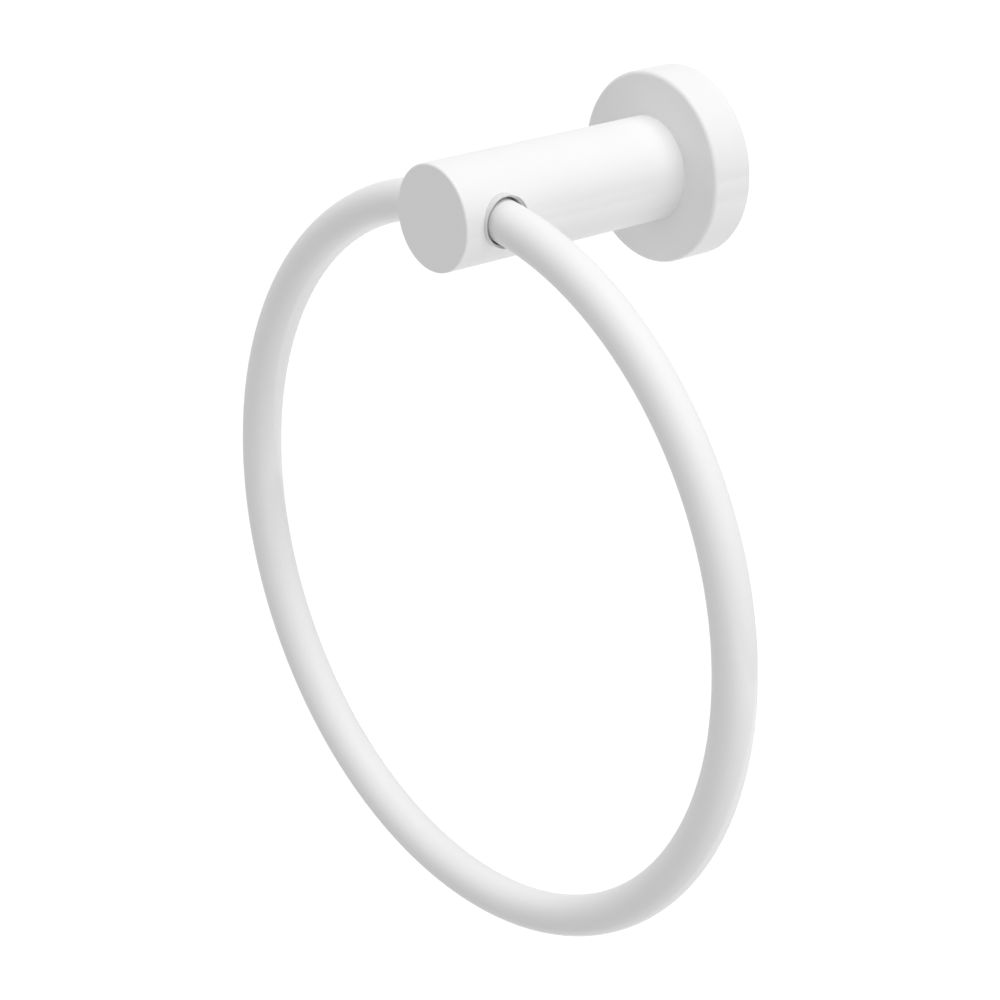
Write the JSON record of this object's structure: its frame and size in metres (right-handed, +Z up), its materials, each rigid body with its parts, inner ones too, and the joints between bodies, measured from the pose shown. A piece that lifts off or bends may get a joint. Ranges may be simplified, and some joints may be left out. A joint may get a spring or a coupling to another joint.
{
  "type": "towel ring",
  "caption": "Wall-mounted towel ring: a round post on a round wall rose carries a hoop of round bar that swings in bushes.",
  "frame": {"origin": "centre of the rose's back, on the wall plane Y = 0, midway between the two wall-screw holes", "axes": "+Z up, +Y into the wall, the post stands out along -Y, X along the wall and along the ring's hinge"},
  "size_m": [0.1864, 0.0771, 0.2036],
  "materials": {
    "white_powder_coat": "matt white powder coat on steel",
    "white_nylon": "satin white nylon",
    "zinc_plated_steel": "bright zinc plating",
    "stainless_screws": "plain stainless steel"
  },
  "bodies": {
    "wall_mount": {"wall_rose": "white_powder_coat", "wall_bracket": "zinc_plated_steel", "rose_set_screw": "stainless_screws", "post": "white_powder_coat", "post_screw": "stainless_screws", "post_screw_washer": "stainless_screws", "ring_bush_left": "white_nylon", "ring_bush_right": "white_nylon", "ring_stop_screw": "stainless_screws"},
    "ring": {"towel_ring": "white_powder_coat"}
  },
  "joints": [
    {"name": "ring_swing", "type": "hinge", "parent": "wall_mount", "child": "ring", "pos_m": [0, -0.066, 0], "axis": [-1, 0, 0], "range_deg": [-20, 200]}
  ]
}
